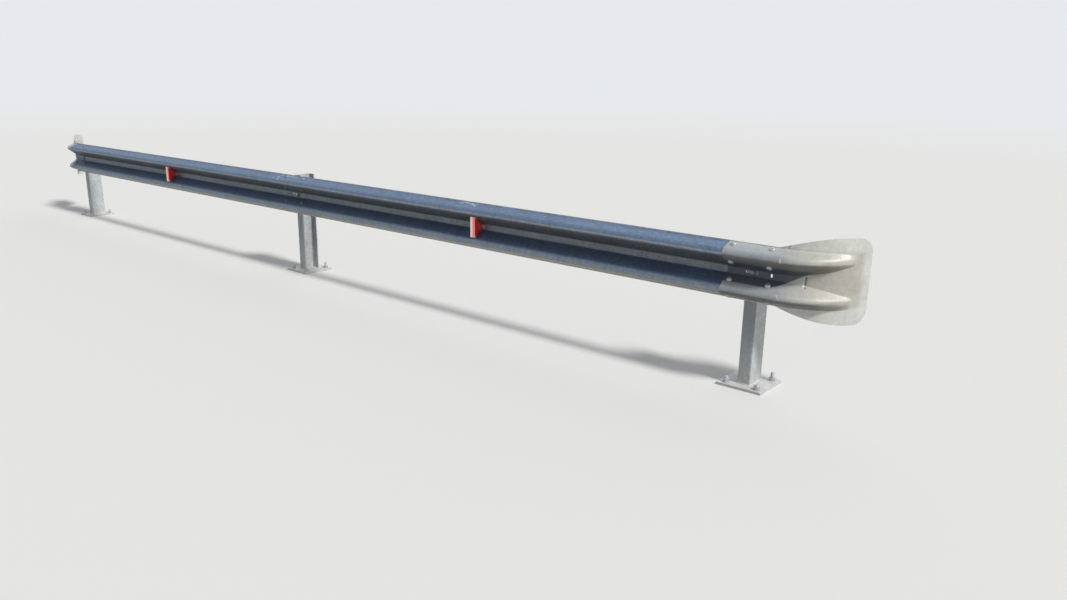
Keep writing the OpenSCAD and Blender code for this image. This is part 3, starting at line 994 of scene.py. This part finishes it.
def weld_forge(name):
    """A bead round the outside of the post's foot."""
    path, rings, before = c_path(0, POST_SIDES[name]), [], 0.0
    for here, after in zip(path, path[1:]):
        length = hypot(after[0] - here[0], after[1] - here[1])
        for t in steps(0, 1, WELD_STEP / max(length, 0.1 * MM)):
            x, y, nx, ny = [p + (q - p) * t for p, q in zip(here, after)]
            travelled = before + length * t
            leg = (WELD_LEG + WELD_RIPPLE * cos(tau * travelled / RIPPLE_PITCH)
                   + MM * noise.noise(Vector((travelled * WELD_LUMPS, y, x))))
            ring = [(post_x(name) + x - nx * MM, y - ny * MM, PLATE_T - WELD_SINK)]
            for angle in range(0, 91, CORNER_STEP):
                out = leg * cos(radians(angle))
                up = leg * sin(radians(angle))
                ring.append((post_x(name) + x + nx * out, y + ny * out, PLATE_T + up))
            rings.append(ring)
        before += length
    forge = Forge()
    forge.loft(rings)
    return forge


print("a bead's ripples are", round(RIPPLE_PITCH / MM), "mm apart")

# %% [markdown]
# ## The plates' finish
#
# The plates are dipped like the posts, and dust lies on them in patches. The dust could be
# a thin sheet of its own, but a second tone, mixed in where a noise is high, has no edge
# to show and also makes the zinc rougher there.

# %% Make plates and welds
PLATE_TONE, PLATE_DUST = (0.60, 0.62, 0.63), (0.66, 0.64, 0.60)


def plate_finish():
    """Zinc under patches of blown dust."""
    bench = Bench("plate zinc")
    brightness, change = zinc_coat(bench, 0.15, 0.5)
    dust = bench.cloud(12.0, 6.0).fade(-0.15, 0.2)
    tone = bench.mix(dust * 0.55, brightness * PLATE_TONE, PLATE_DUST)
    return zinc_surface(bench, tone, change + 0.48 + dust * 0.25, 0.2 - dust * 0.15,
                        (dust, 0.4 * MM))


plate_zinc = plate_finish()
for name in POST_SIDES:
    forge, cutter = plate_forge(name)
    forge.piece(f"plate_{name}_flat", "plate_zinc", plate_zinc, bevel=PLATE_ROUNDING,
                cutter=cutter, node="base_plate_" + name)
    weld_forge(name).piece("weld_" + name, "post_zinc", weld_zinc, sharp=60)

# %% [markdown]
# ## Bolts, nuts and studs
#
# Guardrail bolts have wide domed heads on the road side, so that nothing catches a
# vehicle, and a washer and nut behind. A bolt could be a bought model, but a turned
# profile with six flats for the nut is all it is.

# %% Profiles of the fasteners
HEAD_R, HEAD_H, SHANK_R, DOME_SIDES = 16.5 * MM, 9.0 * MM, 7.9 * MM, 28
NUT_FLATS, NUT_H, WASHER_R, WASHER_T = mm(24, 13, 16, 3)
WASHER_EDGE, NUT_SIDES = 0.5 * MM, 24
THREAD_PITCH, THREAD_CUT, THREAD_END = mm(2, 0.7, 9)
# Radius and height of a domed head, as shares of its own, and of a nut's chamfers
DOME = ((1.0, -0.04), (1.0, 0.12), (0.97, 0.34), (0.88, 0.58), (0.72, 0.78),
        (0.50, 0.92), (0.25, 0.985), (0.06, 1.0))
CHAMFER_R, CHAMFER_H = 0.515, 0.12


def thread(radius, start, end):
    """Radius and height pairs of a thread as rings, with a small point at its end."""
    pairs, count = [], int((end - start) / THREAD_PITCH)
    for i in range(count):
        z = start + i * THREAD_PITCH
        pairs += [(radius, z), (radius - THREAD_CUT, z + THREAD_PITCH / 2)]
    return [*pairs, (radius - THREAD_CUT, end - MM), (radius - 2 * MM, end)]


def nut_profile(start, height, flats):
    """Radius and height pairs of a nut, wide enough for the flats to cut its middle."""
    low, high = CHAMFER_H * height, (1 - CHAMFER_H) * height
    return [(flats * CHAMFER_R, start), (flats, start + low), (flats, start + high),
            (flats * CHAMFER_R, start + height)]


def add_bolt(bolts, nuts, place, back, head_r=HEAD_R, head_h=HEAD_H):
    """A bolt whose head sits at place and whose nut sits behind at depth back."""
    bolts.turned([(head_r * r, head_h * z) for r, z in DOME], place, DOME_SIDES)
    behind = place @ Matrix.Translation((0, 0, -back)) @ Matrix.Rotation(pi, 4, "X")
    end = WASHER_T + NUT_H + THREAD_END
    bolts.turned([(SHANK_R, -back)] + thread(SHANK_R, 0, end), behind)
    inner = WASHER_R - WASHER_EDGE
    nuts.turned([(inner, 0), (WASHER_R, WASHER_EDGE), (WASHER_R, WASHER_T - WASHER_EDGE),
                 (inner, WASHER_T)], behind)
    nuts.turned(nut_profile(WASHER_T, NUT_H, NUT_FLATS), behind, NUT_SIDES, NUT_FLATS)


print("rings in a bolt's thread:", len(thread(SHANK_R, 0, WASHER_T + NUT_H + THREAD_END)))

# %% Bolt the sheets together and to the posts
POST_HEAD_R, POST_HEAD_H = mm(16, 8)
# The left and middle splice bolts and every post bolt take the rails' finish, with its painted
# reflection and shade bands.
SPLICE_COATS = {"left": rail_zinc, "middle": rail_zinc, "right": bolt_zinc}
for number, name in enumerate(POST_SIDES):
    bolts, nuts = Forge(), Forge()
    front = (number + 1) * SHEET_STEP + SHEET
    for place in splice_seats(number, front):
        add_bolt(bolts, nuts, place, 2 * SHEET_STEP)
    bolts.piece("splice_bolts_" + name, "rail_zinc", SPLICE_COATS[name])
    nuts.piece("splice_nuts_" + name, "rail_zinc", nut_zinc)
    post_bolt, post_nut = Forge(), Forge()
    flat = seat(number * beam_pitch, (0.0, 0.0, 0.0), front)
    add_bolt(post_bolt, post_nut, flat, front + POST_WALL + SEAT_GAP, POST_HEAD_R, POST_HEAD_H)
    post_bolt.piece("post_bolt_" + name, "rail_zinc", rail_zinc)
    post_nut.piece("post_nut_" + name, "post_zinc", nut_zinc)

# %% [markdown]
# ## Anchors
#
# Threaded studs come up through the plates' holes, with nuts done up on washers, and are
# left long, no two alike. They could be copies of one stud, but the bolts' own profiles
# make each at its own length in one loop.

# %% Make the anchors
STUD_R, STUD_NUT_FLATS, STUD_NUT_H = mm(9.8, 30, 16)
STUD_WASHER_R, STUD_WASHER_SIDES, WASHER_SINK = 18.5 * MM, 32, 0.1 * MM
STUD_TOPS = mm(48, 60, 42, 62)
lid = PLATE_T + WASHER_T
for name in POST_SIDES:
    studs = Forge()
    for place, top in zip(anchor_places(name), STUD_TOPS):
        studs.turned([(STUD_R - MM, MM)] + thread(STUD_R, 2 * MM, top), place)
        studs.turned([(STUD_WASHER_R, PLATE_T - WASHER_SINK), (STUD_WASHER_R, lid)], place,
                     STUD_WASHER_SIDES)
        studs.turned(nut_profile(lid, STUD_NUT_H, STUD_NUT_FLATS), place, NUT_SIDES,
                     STUD_NUT_FLATS)
    studs.piece("anchors_" + name, "plate_zinc", nut_zinc)

# %% [markdown]
# ## Reflectors
#
# A reflector is a trapezoid that stands across the valley: a white half facing one way and
# a red half facing the other, each with a lens let into it. A strap screwed into the
# valley holds it. A box could be cut and bevelled, but each half is lofted from rings
# instead: the outside, a rounded rim, then down into the recess for the lens.

# %% Reflector shapes
REFLECTOR_REACH, REFLECTOR_HALF_T, REFLECTOR_CORNER = mm(76, 18.5, 6)
REFLECTOR_SHIFT = (0.0, 44.0 * MM)
SIDE_GAP, LENS_RECESS = mm(4, 4)
FOOT_T, FOOT_L, FOOT_H, FOOT_CORNER = mm(3, 96, 24, 4)
# Each ring is a distance from the reflector's middle and an inset, in millimetres
FACE, SEAT = REFLECTOR_HALF_T / MM, (REFLECTOR_HALF_T - LENS_RECESS) / MM
BODY_RINGS = [(0, 0.6), (0.5, 0), (FACE - 0.8, 0), (FACE - 0.2, 0.25), (FACE, 0.9),
              (FACE, 4.5), (FACE - 0.3, 5), (SEAT, 5)]
LENS_RINGS = [(SEAT, 5.2), (SEAT + 2.4, 5.2), (SEAT + 2.85, 5.4), (SEAT + 3, 5.9)]


def reflector_half_h(bay, forward):
    """Half height of a reflector, which keeps a gap from the flanks behind it."""
    face = (bay + 1) * SHEET_STEP + SHEET
    start = inner_start + (face + SIDE_GAP) * facing(INNER_SLOPE)
    return start[0] + (forward + face - start[1]) / tan(INNER_SLOPE)


def reflector_forge(bay, side, rings):
    """One side's solid through rings, on the face of the bay's valley."""
    back, front = [reflector_half_h(bay, f) for f in (FOOT_T, REFLECTOR_REACH)]
    corners = [(-REFLECTOR_REACH, -front), (-FOOT_T, -back), (-FOOT_T, back),
               (-REFLECTOR_REACH, front)]
    forge = Forge()
    forge.loft([[(side * x * MM, y, z) for y, z in rounded(corners, REFLECTOR_CORNER, inset * MM)]
                for x, inset in rings], reflector_seat(bay))
    return forge


def reflector_seat(bay):
    """The place of a bay's reflector on the face of the valley."""
    along = (bay + 0.5) * beam_pitch + REFLECTOR_SHIFT[bay]
    return beam @ Matrix.Translation((along, -(bay + 1) * SHEET_STEP - SHEET, 0))


print("a reflector is", round(2 * reflector_half_h(0, REFLECTOR_REACH) / MM), "mm high in front")

# %% [markdown]
# ## The reflectors' plastics
#
# The halves are moulded in dyed plastic. Their front edges are painted paler, as painted
# light that they catch. Some light also comes through the plastic. Real scattering is slow
# and an exported model loses it, so a faint emission on the edges and lenses stands for
# it, a painted glow. Under a clear face the lenses have rows of tiny prisms, which show as
# bright and dark cells.

# %% Plastics of the reflectors
RED, LIT_EDGE_RED, WHITE, LIT_EDGE_WHITE = ((0.70, 0.03, 0.022), (0.95, 0.32, 0.25), (0.86, 0.82, 0.79),
                                (0.95, 0.90, 0.87))
# The two glows are painted light: emission on the front edges and on the lenses.
PLASTIC_DUST, EDGE_GLOW, LENS_GLOW = (0.55, 0.52, 0.48), 0.22, 0.1
FRONT_EDGE = -0.118, -0.148     # where the painted light on the front edge starts and is full, by Y
PRISMS, GLINTS = 260.0, 320.0   # per metre


def moulded(name, tone, lit_edge_tone):
    """Moulded plastic, with a paler front edge and a faint glow there, both painted light."""
    bench = Bench(name)
    bleach = bench.cloud(25.0, 4.0)
    # Painted light on the front edge: a paler tone, and below, a faint glow.
    front = bench.place.axis("Y").fade(*FRONT_EDGE)
    colour = bench.mix(front, tone, lit_edge_tone) * (1.0 + bleach * 0.25)
    dust = bench.cloud(160.0, 4.0).fade(0.02, 0.25)
    colour = bench.mix(dust * 0.3, colour, PLASTIC_DUST)
    return bench.finish({"Base Color": colour, "Roughness": bleach * 0.2 + 0.5,
                         "Emission Color": bench.mix(front, (0.0, 0.0, 0.0), lit_edge_tone),
                         "Emission Strength": EDGE_GLOW},
                        [(bench.cloud(700.0, 2.0), 0.15 * MM)])


def prism_lens(name, tone, dark_tone):
    """A clear lens over rows of tiny corner prisms, with a faint painted glow."""
    bench = Bench(name)
    cells = bench.add("ShaderNodeTexVoronoi", {"distance": "CHEBYCHEV"},
                      {"Vector": bench.place, "Scale": PRISMS, "Randomness": 0.15})
    prism = cells.fade(0.05, 0.5)
    glint = bench.cloud(GLINTS, 2.0).fade(-0.1, 0.2)
    colour = bench.mix(prism * 0.6 + glint * 0.25, tone, dark_tone)
    return bench.finish({"Base Color": colour, "Roughness": 0.28 + prism * 0.1,
                         "Emission Color": colour, "Emission Strength": LENS_GLOW,
                         "Coat Weight": 0.5, "Coat Roughness": 0.12},
                        [(cells, 0.5 * MM)])


red_plastic = moulded("red plastic", RED, LIT_EDGE_RED)
white_plastic = moulded("white plastic", WHITE, LIT_EDGE_WHITE)
red_lens = prism_lens("red lens", (0.90, 0.035, 0.02), (0.48, 0.008, 0.008))
white_lens = prism_lens("white lens", (0.74, 0.76, 0.77), (0.45, 0.48, 0.50))
print("materials so far:", len(bpy.data.materials))

# %% Make the reflectors
SCREW_X, SCREW_H, SCREW_FLATS, STRAP_ROUNDING = mm(35, 5.5, 13, 0.5)
SIDES = (("red", 1, red_plastic, red_lens), ("white", -1, white_plastic, white_lens))
for bay, where in enumerate(("left", "right")):
    for paint, side, plastic, glass in SIDES:
        reflector_forge(bay, side, BODY_RINGS).piece(
            f"reflector_{paint}_{where}_body", paint + "_plastic", plastic, sharp=50,
            node=f"reflector_{paint}_half_{where}")
        reflector_forge(bay, side, LENS_RINGS).piece(
            f"reflector_{paint}_{where}_lens", paint + "_lens", glass, sharp=50,
            node=f"reflector_{paint}_lens_{where}")
    middle, strap, screws = reflector_seat(bay), Forge(), Forge()
    outline = rounded(rectangle(FOOT_L, FOOT_H), FOOT_CORNER)
    strap.loft([[(x, y, z) for x, z in outline] for y in (0, -FOOT_T)], middle)
    strap.piece(f"reflector_{where}_strap", "foot_zinc", foot_zinc, bevel=STRAP_ROUNDING,
                node="reflector_foot_" + where)
    for x in (-SCREW_X, SCREW_X):
        place = (middle @ Matrix.Translation((x, -FOOT_T, 0))
                 @ Matrix.Rotation(pi / 2, 4, "X"))
        screws.turned(nut_profile(0, SCREW_H, SCREW_FLATS), place, NUT_SIDES, SCREW_FLATS)
    screws.piece("reflector_screws_" + where, "foot_zinc", bolt_zinc)

# %% [markdown]
# ## Floor
#
# The floor is a wide pale sheet that takes the object's shadow. A small one would show its
# edge, so it is wide, and far out it fades into the background's own colour. It is paler
# for the rays that show it than for those that light the object from below.

# %% Floor
BACKGROUND, FLOOR_SEEN, FLOOR_BOUNCE = (0.80, 0.82, 0.84), (0.84, 0.84, 0.83), (0.50, 0.50, 0.49)
FLOOR_REACH, FLOOR_T, FLOOR_SIDES, FADE = 150.0, 0.02, 96, (9.0, 40.0)
floor_forge = Forge()
floor_forge.turned([(FLOOR_REACH, -FLOOR_T), (FLOOR_REACH, 0.0)], Matrix(), FLOOR_SIDES)


def seen_rays(bench):
    """1 for the rays that show the background: straight, in reflections or through glass."""
    kinds = [bench.add("ShaderNodeLightPath", {}, {}, f"Is {kind} Ray")
             for kind in ("Camera", "Glossy", "Transmission")]
    return bench.maths("MAXIMUM", bench.maths("MAXIMUM", kinds[0], kinds[1]), kinds[2])


bench = Bench("floor")
far = bench.add("ShaderNodeVectorMath", {"operation": "LENGTH"}, {0: bench.place},
                "Value").fade(*FADE)
rays = seen_rays(bench)
paper = bench.add("ShaderNodeBsdfDiffuse", {},
                  {"Color": bench.mix(rays, FLOOR_BOUNCE, FLOOR_SEEN)})
glow = bench.add("ShaderNodeEmission", {}, {"Color": (*BACKGROUND, 1)})
blend = bench.add("ShaderNodeMixShader", {}, {0: far * rays, 1: paper, 2: glow})
bench.add("ShaderNodeOutputMaterial", {}, {"Surface": blend})
floor = floor_forge.solid("floor")
floor.data.materials.append(bench.owner)
print("floor reaches", FLOOR_REACH, "m")

# %% [markdown]
# ## Background and lamps
#
# The background is pale for the camera and for reflections, and lights the object more
# gently. One soft lamp shines along the rail from the right, so that the waves shade each
# other, and a weak wide one lights the back. Area lamps would need to be very large for
# so long an object, so both are suns, which light all of it alike.

# %% Background and lamps
AMBIENT = 0.36
LAMPS = {   # strength, spread in degrees, the way to the lamp, and colour
    "key": (2.7, 10, (0.74, -0.03, 0.67), (1.0, 0.985, 0.955)),
    "back": (0.6, 70, (-0.2, 0.9, 0.35), (0.92, 0.96, 1.0)),
}
bench = Bench("studio", "worlds")
strength = seen_rays(bench) * (1.0 - AMBIENT) + AMBIENT
light = bench.add("ShaderNodeBackground", {},
                  {"Color": (*BACKGROUND, 1), "Strength": strength})
bench.add("ShaderNodeOutputWorld", {}, {"Surface": light})
bpy.context.scene.world = bench.owner
for name, (power, spread, way, colour) in LAMPS.items():
    lamp = bpy.data.lights.new(name, "SUN")
    lamp.energy, lamp.angle, lamp.color = power, radians(spread), colour
    holder = bpy.data.objects.new(name, lamp)
    holder.rotation_euler = Vector(way).to_track_quat("Z", "Y").to_euler()
    bpy.context.collection.objects.link(holder)
print("lamps:", len(bpy.data.lights))
